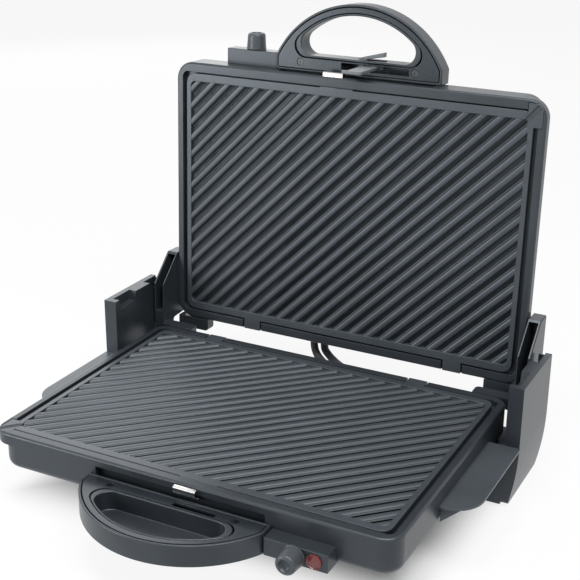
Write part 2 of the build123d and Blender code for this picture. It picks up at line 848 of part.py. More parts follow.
def lid_arm(side, name):
    """Arm on the lid's side that reaches forward and down to the hinge pin."""
    inner = side * (tub_half + arm_gap)
    with BuildPart() as arm:
        with BuildSketch(sideways(lid_frame, inner)):
            with BuildLine():
                Polyline(
                    (arm_top, -arm_back),
                    (arm_top, 0),
                    (arm_shoulder, arm_reach),
                    (arm_shoulder - pin_back * 2, arm_reach),
                    (-pin_back, lid_pin_rise + arm_eye),
                    (-pin_back - arm_eye, lid_pin_rise),
                    (-pin_back, lid_pin_rise - arm_eye),
                    (-pin_back / 2, lid_pin_rise - arm_eye),
                    (-pin_back / 10, arm_heel_rise),
                    (arm_heel, -arm_back),
                    close=True,
                )
            make_face()
            with Locations((-pin_back, lid_pin_rise)):
                Circle(arm_eye)
        extrude(amount=side * arm_thickness)
        with BuildSketch(sideways(lid_frame, inner)):
            with Locations((arm_top / 2, -arm_back / 2)):
                Rectangle(arm_pad_length, arm_pad_height)
        extrude(amount=-side * arm_gap)
        with BuildSketch(sideways(lid_frame, inner + side * arm_wall / 2)):
            with BuildLine():
                Polyline(
                    (arm_top - arm_wall, arm_wall - arm_back),
                    (arm_top - arm_wall, arm_reach),
                    (arm_shoulder, arm_reach + 1),
                    (arm_eye + arm_wall, arm_reach + 1),
                    (arm_eye, arm_wall - arm_back),
                    close=True,
                )
            make_face()
        extrude(amount=side * (arm_thickness - arm_wall * 1.5), mode=Mode.SUBTRACT)
        with BuildSketch(sideways(lid_frame, inner)):
            with Locations((-pin_back, lid_pin_rise)):
                Circle(pin_diameter / 2)
        extrude(amount=side * arm_thickness, mode=Mode.SUBTRACT)
        outer_face = arm.faces().sort_by(Axis(lid_frame.origin, lid_frame.x_dir))[-1 if side > 0 else 0]
        chamfer(outer_face.outer_wire().edges(), 1)
    save(arm, name)


def hinge_pin(side, name):
    """Steel pin fixed in the arm, turning in the slide block."""
    start = tub_half + arm_gap + pin_end_inset
    end = pillar_inner + block_thickness - pin_stop
    with BuildPart() as pin:
        with BuildSketch(sideways(lid_frame, side * start)):
            with Locations((-pin_back, lid_pin_rise)):
                Circle(pin_diameter / 2)
        extrude(amount=side * (end - start))
    save(pin, name)


def slide_block(side, name):
    """Block that carries the pin and rides up and down in the pillar."""
    with BuildPart() as block:
        with BuildSketch(Plane(origin=(side * pillar_inner, pin_y, pin_z), x_dir=(0, 1, 0), z_dir=(1, 0, 0))):
            RectangleRounded(block_width, block_height, block_round)
            Circle(pin_diameter / 2 + pin_clearance, mode=Mode.SUBTRACT)
        extrude(amount=side * block_thickness)
    save(block, name)


def pillar_side_plane(x):
    """Plane at x with its own x along +Y and its y along +Z, from the lower half's hinge edge and rim."""
    return Plane(origin=(x, hinge_edge_y, rim_height), x_dir=(0, 1, 0), z_dir=(1, 0, 0))


pillar_base = -rim_height + pad_thickness
pillar_depth = pillar_front + pillar_rear
slot_low = -pin_drop - block_height / 2
slot_high = -pin_drop + float_travel + block_height / 2
main_rear = pillar_rear - rear_cover_thickness


def make_pillar(side, name):
    """Upright with the hinge slot, arm cradles, a wide foot and a flange under the tub."""
    with BuildPart() as pillar:
        with BuildSketch(pillar_side_plane(side * pillar_inner)) as wall:
            with Locations(((main_rear - pillar_front) / 2, (pillar_rise + pillar_base) / 2)):
                Rectangle(pillar_front + main_rear, pillar_rise - pillar_base)
            corner = wall.vertices().sort_by(Axis.Y)[:2].sort_by(Axis.Z)[-1]
            fillet(corner, pillar_round)
        extrude(amount=side * pillar_thickness)
        foot_inner = tub_half + foot_clearance
        with BuildSketch(pillar_side_plane(side * foot_inner)):
            with Locations(((main_rear - pillar_front) / 2, (pillar_base - foot_top) / 2)):
                Rectangle(pillar_front + main_rear, -foot_top - pillar_base)
        extrude(amount=side * (pillar_inner - foot_inner))
        with BuildSketch(Plane.XY.offset(rim_height - tub_depth)):
            flange_x = side * (foot_inner - flange_reach / 2)
            with Locations((flange_x, hinge_edge_y + (flange_rear - flange_front) / 2)):
                Rectangle(flange_reach, flange_rear + flange_front)
        extrude(amount=-flange_thickness)
        with BuildSketch(Plane.XZ.offset(-hinge_edge_y + pillar_front)):
            with BuildLine():
                top_z = rim_height - pillar_bow_start
                low_x = side * (pillar_outer - pillar_bow)
                middle_x = side * (pillar_outer - pillar_bow / 4)
                beyond_x = side * (pillar_outer + pillar_wall)
                middle = (middle_x, (top_z + pad_thickness) / 2)
                ThreePointArc((side * pillar_outer, top_z), middle, (low_x, 0))
                Polyline((low_x, 0), (beyond_x, 0), (beyond_x, top_z), (side * pillar_outer, top_z))
            make_face()
        extrude(amount=-pillar_depth - 1, mode=Mode.SUBTRACT)
        with BuildSketch(pillar_side_plane(side * (pillar_inner - 1))):
            with BuildLine():
                Polyline(
                    (-front_notch_end, pillar_rise + 1),
                    (-front_notch_end + front_notch_slope, pillar_rise - front_notch_depth),
                    (-front_notch_start - front_notch_slope, pillar_rise - front_notch_depth + 1),
                    (-front_notch_start, pillar_rise + 1),
                    close=True,
                )
            make_face()
            with BuildLine():
                Polyline(
                    (rear_notch_start, pillar_rise + 1),
                    (rear_notch_start + rear_notch_slope, pillar_rise - rear_notch_depth),
                    (main_rear + 1, pillar_rise - rear_notch_depth - rear_notch_fall),
                    (main_rear + 1, pillar_rise + 1),
                    close=True,
                )
            make_face()
        extrude(amount=side * (1 + pillar_thickness - 2 * pillar_wall), mode=Mode.SUBTRACT)
        with BuildSketch(pillar_side_plane(side * pillar_inner)):
            with Locations((pin_back, (slot_low + slot_high) / 2)):
                Rectangle(block_width + 2 * slot_clearance, slot_high - slot_low + 2 * slot_clearance)
        extrude(amount=side * (block_thickness + slot_clearance), mode=Mode.SUBTRACT)
        with BuildSketch(pillar_side_plane(side * (foot_inner + pillar_wall))):
            with Locations(((main_rear - pillar_front) / 2 + pillar_wall, (pillar_base - foot_top) / 2)):
                Rectangle(pillar_front + main_rear, -foot_top - pillar_base - 2 * pillar_wall)
        cavity = pillar_outer - pillar_bow - 2 * pillar_wall - foot_inner
        extrude(amount=side * cavity, mode=Mode.SUBTRACT)
    save(pillar, name)


def rear_cover(side, name):
    """Strip that closes the back of the pillar."""
    low = pillar_base + rear_cover_stop
    with BuildPart() as strip:
        with BuildSketch(Plane.XZ.offset(-hinge_edge_y - main_rear)):
            with BuildLine():
                inner = side * (pillar_inner + 2 * rear_cover_inset)
                foot_inner = side * (tub_half + foot_clearance)
                outer_low = side * (pillar_outer - pillar_bow * 0.8)
                top = rim_height + pillar_rise - pillar_wall
                Polyline(
                    (foot_inner, rim_height + low),
                    (foot_inner, rim_height - foot_top),
                    (inner, rim_height - foot_top),
                    (inner, top),
                    (side * (pillar_outer - rear_cover_inset), top),
                    (side * (pillar_outer - rear_cover_inset), rim_height - pillar_bow_start),
                    (outer_low, rim_height + low),
                    close=True,
                )
            make_face()
        extrude(amount=-rear_cover_thickness)
    save(strip, name)


def make_wing(side, name):
    """Thin side shelf beside the tub, with a rounded front corner and one gusset below."""
    wall_half = tub_half if side > 0 else lipped_half
    with BuildPart() as wing:
        with BuildSketch(Plane.XY.offset(rim_height - wing_drop)) as shelf:
            middle_y = hinge_edge_y - (wing_front + pillar_front) / 2
            middle_x = (tub_half + wing_width + wall_half) / 2
            with Locations((side * middle_x, middle_y)):
                Rectangle(tub_half + wing_width - wall_half, wing_front - pillar_front)
            front_corner = shelf.vertices().sort_by(Axis.Y)[:2].sort_by(Axis.X)[-1 if side > 0 else 0]
            fillet(front_corner, wing_corner)
        extrude(amount=-wing_thickness)
        with BuildSketch(Plane.XZ.offset(-hinge_edge_y + wing_front - gusset_thickness)):
            with BuildLine():
                top = rim_height - wing_drop - wing_thickness
                Polyline(
                    (side * wall_half, top),
                    (side * (tub_half + gusset_reach), top),
                    (side * wall_half, top - gusset_depth),
                    close=True,
                )
            make_face()
        extrude(amount=-gusset_thickness)
        add(blanks["base"], mode=Mode.SUBTRACT)
    save(wing, name)


for side, side_name in ((-1, "left"), (1, "right")):
    lid_arm(side, f"{side_name}_lid_arm")
    hinge_pin(side, f"{side_name}_hinge_pin")
    slide_block(side, f"{side_name}_slide_block")
    make_pillar(side, f"{side_name}_pillar")
    rear_cover(side, f"{side_name}_pillar_cover")
    make_wing(side, f"{side_name}_side_wing")

# Screws through the pillars' flanges into the tub's floor
with BuildPart() as flange_screws:
    with BuildSketch(Plane.XY.offset(rim_height - tub_depth - flange_thickness)):
        for side in (-1, 1):
            for y in (-flange_front + flange_screw_inset, flange_rear - flange_screw_inset):
                with Locations((side * (tub_half - flange_reach + flange_screw_inset), hinge_edge_y + y)):
                    Circle(flange_screw_head / 2)
    extrude(amount=-flange_screw_height)
save(flange_screws, "pillar_screws")

# Rubber pads under the pillars
with BuildPart() as pillar_pads:
    with BuildSketch(Plane.XY):
        for side in (-1, 1):
            for y in (-pillar_front + pad_length, main_rear - pad_length):
                pad_x = side * (tub_half + foot_clearance + pad_width / 2 + pad_inset)
                with Locations((pad_x, hinge_edge_y + y)):
                    RectangleRounded(pad_width, pad_length, pad_corner)
    extrude(amount=pad_thickness)
save(pillar_pads, "pillar_pads")

# Front legs and their pads
leg_places = [(side * leg_across, hinge_edge_y - leg_along) for side in (-1, 1)]
with BuildPart() as legs:
    for place in leg_places:
        with BuildSketch(Plane(origin=(place[0], place[1], pad_thickness))):
            Circle(leg_foot_diameter / 2)
        with BuildSketch(Plane(origin=(place[0], place[1], rim_height - tub_depth))):
            Circle(leg_top_diameter / 2)
        loft()
save(legs, "front_legs")

with BuildPart() as leg_pads:
    with BuildSketch(Plane.XY):
        with Locations(*leg_places):
            Circle(leg_foot_diameter / 2 - pad_inset)
    extrude(amount=pad_thickness)
save(leg_pads, "front_leg_pads")

# Feet on the lid's back, which carry the lid when it lies open flat
with BuildPart() as lid_feet:
    with BuildSketch(level(lid_frame, -tub_depth)):
        for u in (-lid_foot_across, lid_foot_across):
            for v in (lid_foot_inset, lid_foot_v):
                with Locations((u, v)):
                    Circle(lid_foot_diameter / 2)
    extrude(amount=-lid_foot_height)
    foot_ends = lid_feet.faces().sort_by(Axis(lid_frame.origin, lid_frame.z_dir))[:4].edges()
    fillet(foot_ends, lid_foot_round)
save(lid_feet, "lid_back_feet")

# Glands on both hinge edges, with the two sleeved link cables between them
with BuildPart() as lid_gland:
    with BuildSketch(edgewise(lid_frame, 0)):
        with Locations((lid_cable_across, wire_w)):
            RectangleRounded(gland_width, gland_height, gland_corner)
    extrude(amount=-gland_thickness)
save(lid_gland, "lid_cable_gland")

with BuildPart() as base_gland:
    with BuildSketch(edgewise(base_frame, 0)):
        with Locations((base_cable_across, wire_w)):
            RectangleRounded(gland_width, gland_height, gland_corner)
    extrude(amount=-gland_thickness)
save(base_gland, "base_cable_gland")

lid_exit = lid_frame.from_local_coords((-lid_cable_across, -gland_thickness, wire_w))
base_exit = base_frame.from_local_coords((-base_cable_across, -gland_thickness, wire_w))
across_route = Vector(0.6, 0.8, 0)
rim_edge = Vector(0, hinge_edge_y, rim_height)
with BuildPart() as link_cables:
    for shift in (-cable_pitch / 2, cable_pitch / 2):
        spread = across_route * shift
        route = [
            lid_exit + Vector(shift, 0, 0),
            lid_exit - lid_frame.y_dir * cable_straight + Vector(shift, 0, 0),
            rim_edge + Vector(*cable_point_a) + spread,
            rim_edge + Vector(*cable_point_b) + spread,
            rim_edge + Vector(*cable_point_c) + spread,
            rim_edge + Vector(*cable_point_d) + spread,
            base_exit - base_frame.y_dir * cable_straight + Vector(shift, 0, 0),
            base_exit + Vector(shift, 0, 0),
        ]
        radii = []
        for before, corner, after in zip(route, route[1:], route[2:]):
            arriving = corner - before
            leaving = after - corner
            turn = radians(arriving.get_angle(leaving))
            shorter = min(arriving.length, leaving.length)
            radii.append(round(0.45 * shorter / tan(turn / 2), 2))
        print("link cable radii", radii)
        with BuildLine() as path:
            FilletPolyline(*route, radius=radii)
        with BuildSketch(Plane(origin=route[0], z_dir=route[1] - route[0])):
            Circle(cable_diameter / 2)
        sweep(path=path.wire())
save(link_cables, "link_cables")

# Inlet for the mains lead, and the terminal block inside it
with BuildPart() as cord_gland:
    with BuildSketch(edgewise(base_frame, 0)):
        with Locations((-cord_gland_across, wire_w)):
            Circle(cord_gland_diameter / 2)
            Circle(cord_gland_bore / 2, mode=Mode.SUBTRACT)
    extrude(amount=-cord_gland_flange)
    with BuildSketch(edgewise(base_frame, -cord_gland_flange)):
        with Locations((-cord_gland_across, wire_w)):
            Circle(cord_gland_diameter / 2 - cord_gland_flange)
            Circle(cord_gland_bore / 2, mode=Mode.SUBTRACT)
    extrude(amount=cord_gland_flange - cord_gland_length)
save(cord_gland, "cord_gland")

terminal_u = lipped_half - tub_wall - terminal_inset - terminal_length / 2
terminal_place = (terminal_u, post_inset + post_diameter / 2 + terminal_width / 2 + terminal_gap)
with BuildPart() as terminal_block:
    with BuildSketch(level(base_frame, -tub_depth + tub_wall)):
        with Locations(terminal_place):
            RectangleRounded(terminal_length, terminal_width, terminal_corner)
    extrude(amount=terminal_height)
    with BuildSketch(level(base_frame, -tub_depth + tub_wall + terminal_height)):
        with Locations(terminal_place):
            with GridLocations(terminal_pitch, terminal_row_pitch, 3, 2):
                Circle(terminal_hole / 2)
    extrude(amount=-terminal_height / 2, mode=Mode.SUBTRACT)
save(terminal_block, "terminal_block")

print("rim plane", rim_height, "pin", round(pin_y, 3), round(pin_z, 3))
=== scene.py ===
"""Contact grill with two ribbed plates, opened a little past a right angle.

The moulded halves, the cast plates, the handles and the hinge are each finished in the section
that bears their name. Pieces of a half are modelled flat, in its own u, v and w, and then seated.
"""

import math

import bpy
from mathutils import Matrix, Vector


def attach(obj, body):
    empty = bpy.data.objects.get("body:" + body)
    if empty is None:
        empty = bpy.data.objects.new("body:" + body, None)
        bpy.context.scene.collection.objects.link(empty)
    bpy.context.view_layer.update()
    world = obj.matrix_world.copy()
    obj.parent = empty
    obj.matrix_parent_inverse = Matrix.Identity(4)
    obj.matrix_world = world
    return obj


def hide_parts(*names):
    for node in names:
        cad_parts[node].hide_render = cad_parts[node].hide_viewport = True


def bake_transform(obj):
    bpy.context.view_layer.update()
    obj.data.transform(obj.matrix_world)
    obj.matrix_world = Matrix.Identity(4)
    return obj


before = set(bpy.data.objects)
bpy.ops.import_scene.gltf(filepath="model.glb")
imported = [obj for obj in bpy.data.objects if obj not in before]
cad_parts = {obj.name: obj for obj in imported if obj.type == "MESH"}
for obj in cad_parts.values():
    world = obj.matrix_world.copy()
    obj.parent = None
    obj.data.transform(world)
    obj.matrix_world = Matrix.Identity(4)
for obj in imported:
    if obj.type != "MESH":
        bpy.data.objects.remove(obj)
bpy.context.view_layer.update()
mm = 0.001

# Housings
# The two halves are one tub moulding in grained heat-resistant plastic, the upper one turned over.
# Its rim is stepped to take the plate, with a lip over one side wall and vents in the floor.
tub_width = 390 * mm
tub_length = 278 * mm
hinge_edge = Vector((0, 129.4985, 80)) * mm
lid_hinge_edge = Vector((0, 163.838, 78.162)) * mm
lean = math.radians(2)
seats = {
    "base": Matrix.Translation(hinge_edge) @ Matrix.Rotation(math.pi, 4, "Z"),
    "lid": Matrix.Translation(lid_hinge_edge) @ Matrix.Rotation(math.pi / 2 - lean, 4, "X"),
}
halves = ("base", "lid")
cool_sheen = (0.84, 0.93, 1.0, 1)
slate = (0.030, 0.035, 0.041, 1)
slate_deep = (0.022, 0.026, 0.031, 1)
body_roughness = 0.34
body_grain = 0.55 * mm
body_relief = 0.02 * mm
housing_edge = 0.35 * mm
cloud_size = 45 * mm
gloss_swing = 0.06
noise_low, noise_high = 0.3, 0.7
weld_distance = 0.001 * mm
flat_within = math.radians(0.5)
sharp_from = math.radians(35)
smooth_up_to = math.radians(40)


def connect(material, source, output, target, socket):
    """Join an output of one node to a socket of another."""
    material.node_tree.links.new(source.outputs[output], target.inputs[socket])


def new_finish(name, roughness, metallic=0.0, specular=0.5):
    """A material with its shader and the coordinates that its patterns follow."""
    material = bpy.data.materials.new(name)
    material.use_nodes = True
    shader = material.node_tree.nodes["Principled BSDF"]
    shader.inputs["Roughness"].default_value = roughness
    shader.inputs["Metallic"].default_value = metallic
    shader.inputs["Specular IOR Level"].default_value = specular
    shader.inputs["Specular Tint"].default_value = (1, 1, 1, 1) if metallic else cool_sheen
    place = material.node_tree.nodes.new("ShaderNodeTexCoord")
    return material, shader, place


def noise(material, place, size, detail=3.0):
    """Noise with grains of about the given size, fixed to the piece."""
    pattern = material.node_tree.nodes.new("ShaderNodeTexNoise")
    pattern.inputs["Scale"].default_value = 1 / size
    pattern.inputs["Detail"].default_value = detail
    connect(material, place, "Object", pattern, "Vector")
    return pattern


def ramp(material, pattern, low, high, start=0.35, end=0.65):
    """A pattern spread between two colours."""
    colours = material.node_tree.nodes.new("ShaderNodeValToRGB")
    colours.color_ramp.elements[0].position = start
    colours.color_ramp.elements[0].color = low
    colours.color_ramp.elements[1].position = end
    colours.color_ramp.elements[1].color = high
    connect(material, pattern, "Fac", colours, "Fac")
    return colours


def spread(material, pattern, low, high):
    """A pattern spread between two numbers."""
    span = material.node_tree.nodes.new("ShaderNodeMapRange")
    span.inputs["From Min"].default_value = noise_low
    span.inputs["From Max"].default_value = noise_high
    span.inputs["To Min"].default_value = low
    span.inputs["To Max"].default_value = high
    connect(material, pattern, "Fac", span, "Value")
    return span


def raise_grain(material, shader, pattern, depth):
    """A pattern raised as relief of the given depth."""
    bump = material.node_tree.nodes.new("ShaderNodeBump")
    bump.inputs["Distance"].default_value = depth
    connect(material, pattern, "Fac", bump, "Height")
    connect(material, bump, "Normal", shader, "Normal")


def grained_plastic(name, deep, pale, roughness, grain_size, grain_depth):
    """Plastic from a spark-eroded mould: an even fine grain, and a slightly cloudy tone."""
    material, shader, place = new_finish(name, roughness)
    cloud = noise(material, place, cloud_size)
    grain = noise(material, place, grain_size, detail=2.0)
    tone = ramp(material, cloud, deep, pale)
    connect(material, tone, "Color", shader, "Base Color")
    gloss = spread(material, grain, roughness - gloss_swing, roughness + gloss_swing)
    connect(material, gloss, "Result", shader, "Roughness")
    raise_grain(material, shader, grain, grain_depth)
    return material


def eased(node, radius, segments=2, clamp=False):
    """A moulded part's copy with the small radius that its mould leaves on every edge."""
    bpy.ops.object.select_all(action="DESELECT")
    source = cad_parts[node]
    piece = source.copy()
    piece.data = source.data.copy()
    piece.name = node + "_moulding"
    piece.parent = None
    piece.matrix_world = Matrix.Identity(4)
    bpy.context.scene.collection.objects.link(piece)
    piece.select_set(True)
    bpy.context.view_layer.objects.active = piece
    bpy.ops.mesh.customdata_custom_splitnormals_clear()
    bpy.ops.object.mode_set(mode="EDIT")
    bpy.ops.mesh.select_all(action="SELECT")
    bpy.ops.mesh.remove_doubles(threshold=weld_distance)
    bpy.ops.mesh.dissolve_limited(angle_limit=flat_within)
    bpy.ops.object.mode_set(mode="OBJECT")
    ease_edges(piece, radius, segments, clamp)
    return piece


def ease_edges(piece, radius, segments, clamp=False):
    """Round the sharp edges and shade the flats flat."""
    bevel = piece.modifiers.new("edge_radius", "BEVEL")
    bevel.width = radius
    bevel.segments = segments
    bevel.limit_method = "ANGLE"
    bevel.angle_limit = sharp_from
    bevel.use_clamp_overlap = clamp
    bevel.miter_outer = "MITER_ARC"
    bpy.ops.object.modifier_apply(modifier=bevel.name)
    bpy.ops.object.shade_smooth_by_angle(angle=smooth_up_to)
    keep_flats(piece)


def keep_flats(piece):
    """Shade flat faces flat, and leave the turn to the narrow ones between them."""
    flats = piece.modifiers.new("flat_faces", "WEIGHTED_NORMAL")
    flats.keep_sharp = True
    bpy.ops.object.modifier_apply(modifier=flats.name)


def paint(piece, material):
    """Give a piece one finish all over."""
    piece.data.materials.clear()
    piece.data.materials.append(material)


def stand_for(piece, node, body, material):
    """The finished piece takes a node's place on its body."""
    paint(piece, material)
    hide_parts(node)
    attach(piece, body)


body_plastic = grained_plastic(
    "body_plastic", slate_deep, slate, body_roughness, body_grain, body_relief
)
for half in halves:
    housing = eased(f"{half}_housing", housing_edge)
    stand_for(housing, f"{half}_housing", half, body_plastic)

# Grill plates
# Each is an aluminium casting with a flat border, a sunken field and slanting ribs, coated so
# that food lets go. It drops into the rim and is held by two rear tabs and the front clip.
plate_side_margin = 11.8 * mm
plate_end_margin = 11.0 * mm
plate_width = tub_width - 2 * plate_side_margin
plate_length = tub_length - 2 * plate_end_margin
plate_top = -0.3 * mm
plate_thickness = 6.2 * mm
plate_corner = 10 * mm
plate_edge = 0.5 * mm
side_border = 5 * mm
end_border = 8 * mm
field_depth = 2.8 * mm
rib_pitch = 12 * mm
rib_height = 2.5 * mm
rib_top = 5.4 * mm
rib_foot = 7.6 * mm
crest_round = 1.6 * mm
foot_round = 0.8 * mm
rib_shift = -1 * mm
rib_bed = 2 * mm
rib_let_in = 0.5 * mm
rib_run = 1.3 * plate_width
row_half = 0.62 * plate_width
tab_places = (-102.5 * mm, 123 * mm)
tab_width = 19 * mm
tab_reach = 3 * mm
tab_tail = 8 * mm
tab_thickness = 2.2 * mm
tongue_start = 252 * mm
tongue_inset = 3.5 * mm
tongue_thickness = 2.2 * mm
drain_width = 6 * mm
drain_depth = 1.2 * mm
drain_round = 0.48 * drain_width
clip_places = (-9 * mm, -19 * mm)
nib_width = 25 * mm
nib_reach = 1.2 * mm
nib_thickness = 1.2 * mm
# Painted shade in the grooves: the share of the coating's colour that is left at the groove floors.
groove_painted_shade = 0.25
coat_deep = (0.038, 0.045, 0.052, 1)
coat_pale = (0.050, 0.058, 0.068, 1)
coat_cloud = 60 * mm
fleck_size = 0.7 * mm
fleck_shade = (0.55, 0.55, 0.55, 1)
fleck_ends = (0.3, 0.42)
coat_roughness = (0.31, 0.46)
peel_size = 1.4 * mm
peel_depth = 0.03 * mm
hair = 0.01 * mm


def box(name, low, high):
    """A block between two corners, given in the half's own u, v and w."""
    bpy.ops.object.select_all(action="DESELECT")
    middle = [(a + b) / 2 for a, b in zip(low, high)]
    size = [b - a for a, b in zip(low, high)]
    bpy.ops.mesh.primitive_cube_add(size=1, location=middle, scale=size)
    block = bpy.context.active_object
    block.name = name
    bpy.ops.object.transform_apply(location=True, rotation=True, scale=True)
    return block


def pick(piece, kind, test):
    """Select the vertices, edges or faces of a piece that pass a test of their places."""
    bpy.ops.object.select_all(action="DESELECT")
    piece.select_set(True)
    bpy.context.view_layer.objects.active = piece
    bpy.ops.object.mode_set(mode="EDIT")
    modes = {"vertices": "VERT", "edges": "EDGE", "polygons": "FACE"}
    bpy.ops.mesh.select_mode(type=modes[kind])
    bpy.ops.mesh.select_all(action="DESELECT")
    bpy.ops.object.mode_set(mode="OBJECT")
    points = [v.co for v in piece.data.vertices]
    for part in getattr(piece.data, kind):
        if kind == "vertices":
            part.select = test(part.co)
        elif kind == "edges":
            part.select = test([points[i] for i in part.vertices])
        else:
            part.select = test(part)
    bpy.ops.object.mode_set(mode="EDIT")


def stop_editing():
    """Back to object mode."""
    bpy.ops.object.mode_set(mode="OBJECT")


def upright(ends):
    """An edge that runs along w."""
    a, b = ends
    return abs(a.x - b.x) < hair and abs(a.y - b.y) < hair


def combine(piece, tool, how):
    """Add one closed shape to another or cut it away, and drop the tool."""
    bpy.ops.object.select_all(action="DESELECT")
    piece.select_set(True)
    bpy.context.view_layer.objects.active = piece
    cut = piece.modifiers.new(how.lower(), "BOOLEAN")
    cut.operation = how
    cut.object = tool
    cut.solver = "EXACT"
    bpy.ops.object.modifier_apply(modifier=cut.name)
    bpy.data.objects.remove(tool, do_unlink=True)


def seat(piece, half):
    """Move a piece from its half's own u, v and w to its place on the grill."""
    bpy.ops.object.select_all(action="DESELECT")
    piece.select_set(True)
    bpy.context.view_layer.objects.active = piece
    piece.matrix_world = seats[half]
    bpy.ops.object.transform_apply(location=True, rotation=True, scale=True)


def join(main, *others):
    """One object of several."""
    bpy.ops.object.select_all(action="DESELECT")
    for piece in others:
        piece.select_set(True)
    main.select_set(True)
    bpy.context.view_layer.objects.active = main
    bpy.ops.object.join()
    return main


def plate_casting():
    """The plate without its ribs: border, sunken field, tabs, clip nibs and drain tongue."""
    low = (-plate_width / 2, plate_end_margin, plate_top - plate_thickness)
    high = (plate_width / 2, tub_length - plate_end_margin, plate_top)
    casting = box("casting", low, high)
    pick(casting, "edges", upright)
    bpy.ops.mesh.bevel(offset=plate_corner, segments=8)
    stop_editing()
    pick(casting, "polygons", lambda f: f.normal.z > 0.9)
    bpy.ops.mesh.inset(thickness=side_border)
    stretch = (plate_length - 2 * end_border) / (plate_length - 2 * side_border)
    middle = (0, tub_length / 2, plate_top)
    bpy.ops.transform.resize(value=(1, stretch, 1), center_override=middle)
    bpy.ops.mesh.extrude_region_move(TRANSFORM_OT_translate={"value": (0, 0, -field_depth)})
    stop_editing()
    back = plate_end_margin
    for place in tab_places:
        tab_low = (place - tab_width / 2, back - tab_reach - tab_tail, plate_top - tab_thickness)
        tab_high = (place + tab_width / 2, back + tab_reach, plate_top)
        combine(casting, box("tab", tab_low, tab_high), "UNION")
    front = tub_length - plate_end_margin
    for place in clip_places:
        nib_low = (place - nib_width / 2, front - nib_reach, plate_top - nib_thickness)
        nib_high = (place + nib_width / 2, front + nib_reach, plate_top)
        combine(casting, box("nib", nib_low, nib_high), "UNION")
    edge = plate_width / 2
    tongue_low = (edge - drain_width, tongue_start, plate_top - tongue_thickness)
    tongue_high = (tub_width / 2 - tongue_inset, tub_length - tongue_inset, plate_top)
    tongue = box("tongue", tongue_low, tongue_high)

    def outer_corner(ends):
        """The upright edge farthest from the plate."""
        return upright(ends) and ends[0].x > edge and ends[0].y > tongue_start + hair

    pick(tongue, "edges", outer_corner)
    bpy.ops.mesh.bevel(offset=drain_width, segments=4)
    stop_editing()
    combine(casting, tongue, "UNION")
    drain_start = Vector((edge - side_border, front - end_border, plate_top))
    drain_end = Vector(tongue_high)
    run = drain_end - drain_start
    low = (-run.length / 2 - drain_width / 2, -drain_width / 2, -drain_depth)
    high = (run.length / 2 + drain_width / 2, drain_width / 2, drain_depth)
    drain = box("drain", low, high)
    pick(drain, "edges", upright)
    bpy.ops.mesh.bevel(offset=drain_round, segments=6)
    stop_editing()
    middle = (drain_start + drain_end) / 2
    slant = Matrix.Rotation(math.atan2(run.y, run.x), 4, "Z")
    drain.matrix_world = Matrix.Translation(middle) @ slant
    combine(casting, drain, "DIFFERENCE")
    ease_edges(casting, plate_edge, 3)
    return casting


def rib_field():
    """Slanting ribs on a thin bed, cut to the field and let a little into its border."""
    count = 2 * int(row_half / rib_pitch) + 1
    bpy.ops.object.select_all(action="DESELECT")
    bpy.ops.mesh.primitive_plane_add(size=1, location=(0, 0, 0))
    ribs = bpy.context.active_object
    ribs.name = "ribs"
    ribs.scale = (rib_pitch, rib_run, 1)
    bpy.ops.object.transform_apply(location=True, rotation=True, scale=True)
    bpy.ops.object.mode_set(mode="EDIT")
    for across in (-rib_foot / 2, -rib_top / 2, rib_top / 2, rib_foot / 2):
        bpy.ops.mesh.select_all(action="SELECT")
        bpy.ops.mesh.bisect(plane_co=(across, 0, 0), plane_no=(1, 0, 0))
    stop_editing()
    pick(ribs, "vertices", lambda p: abs(p.x) < rib_top / 2 + hair)
    bpy.ops.transform.translate(value=(0, 0, rib_height))
    stop_editing()
    for half_width, radius in ((rib_top / 2, crest_round), (rib_foot / 2, foot_round)):
        pick(ribs, "edges", lambda e: all(abs(abs(p.x) - half_width) < hair for p in e))
        bpy.ops.mesh.bevel(offset=radius, segments=4)
        stop_editing()
    ribs.location.x = -(count - 1) / 2 * rib_pitch
    bpy.ops.object.transform_apply(location=True, rotation=True, scale=True)
    row = ribs.modifiers.new("row", "ARRAY")
    row.count = count
    row.use_relative_offset = False
    row.use_constant_offset = True
    row.constant_offset_displace = (rib_pitch, 0, 0)
    row.use_merge_vertices = True
    row.merge_threshold = hair
    bpy.ops.object.modifier_apply(modifier=row.name)
    bpy.ops.object.mode_set(mode="EDIT")
    bpy.ops.mesh.select_all(action="SELECT")
    bpy.ops.mesh.extrude_region_move(TRANSFORM_OT_translate={"value": (0, 0, -rib_bed)})
    bpy.ops.transform.resize(value=(1, 1, 0), center_override=(0, 0, -rib_bed))
    bpy.ops.mesh.select_all(action="SELECT")
    bpy.ops.mesh.normals_make_consistent(inside=False)
    stop_editing()
    turned = Matrix.Rotation(math.radians(-45), 4, "Z")
    centre = Vector((rib_shift, tub_length / 2, plate_top - field_depth))
    ribs.matrix_world = Matrix.Translation(centre) @ turned
    bpy.ops.object.transform_apply(location=True, rotation=True, scale=True)
    half_width = plate_width / 2 - side_border + rib_let_in
    half_length = plate_length / 2 - end_border + rib_let_in
    bpy.ops.object.mode_set(mode="EDIT")
    for wall, outward in (
        ((half_width, 0, 0), (1, 0, 0)),
        ((-half_width, 0, 0), (-1, 0, 0)),
        ((0, tub_length / 2 + half_length, 0), (0, 1, 0)),
        ((0, tub_length / 2 - half_length, 0), (0, -1, 0)),
    ):
        bpy.ops.mesh.select_all(action="SELECT")
        bpy.ops.mesh.bisect(plane_co=wall, plane_no=outward, clear_outer=True, use_fill=True)
    stop_editing()
    bpy.ops.object.shade_smooth_by_angle(angle=sharp_from)
    keep_flats(ribs)
    return ribs


